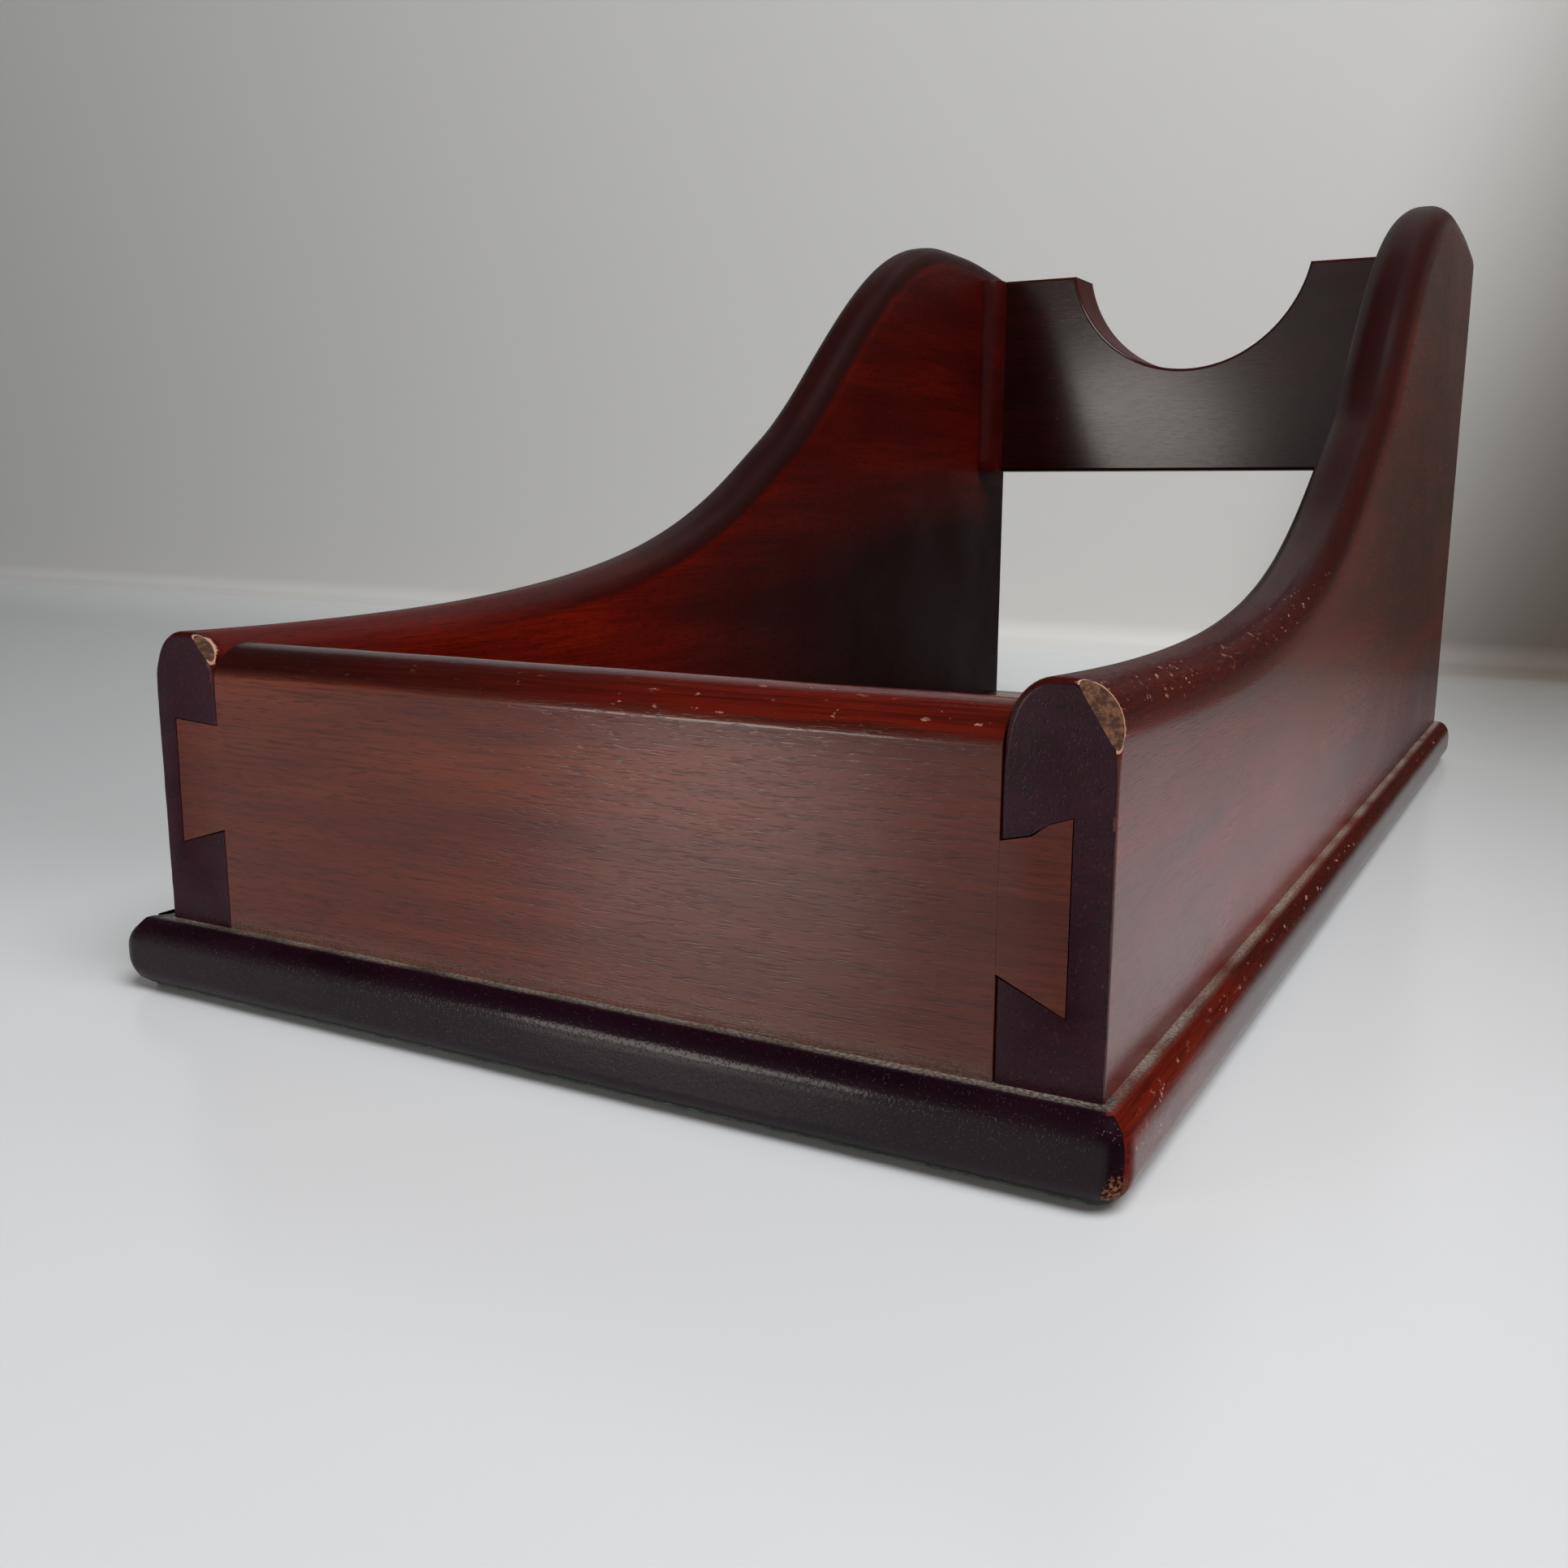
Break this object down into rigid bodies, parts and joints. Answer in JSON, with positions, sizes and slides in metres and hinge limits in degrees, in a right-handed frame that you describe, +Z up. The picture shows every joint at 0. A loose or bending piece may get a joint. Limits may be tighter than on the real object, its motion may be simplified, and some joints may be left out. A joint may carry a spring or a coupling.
{
  "type": "wine bottle cradle",
  "caption": "Low mahogany cradle with swept sides, a dovetailed front board and a notched neck rest that holds a bottle at a slant.",
  "frame": {"origin": "centre of the footprint, on the surface the cradle stands on", "axes": "+X across the cradle to the right seen from its low front, +Y from the low front to the high rear, +Z up"},
  "size_m": [0.1252, 0.257, 0.1144],
  "materials": {
    "mahogany": "worn gloss varnish",
    "green_baize": "matte napped wool",
    "screw_steel": "dull"
  },
  "bodies": {
    "root": {"base_felt": "green_baize", "base_board": "mahogany", "left_side": "mahogany", "right_side": "mahogany", "front_board": "mahogany", "neck_rest": "mahogany", "corner_block_left": "mahogany", "corner_block_right": "mahogany", "base_screw_1": "screw_steel", "base_screw_2": "screw_steel", "base_screw_3": "screw_steel", "base_screw_4": "screw_steel", "base_screw_5": "screw_steel", "base_screw_6": "screw_steel"}
  },
  "joints": []
}
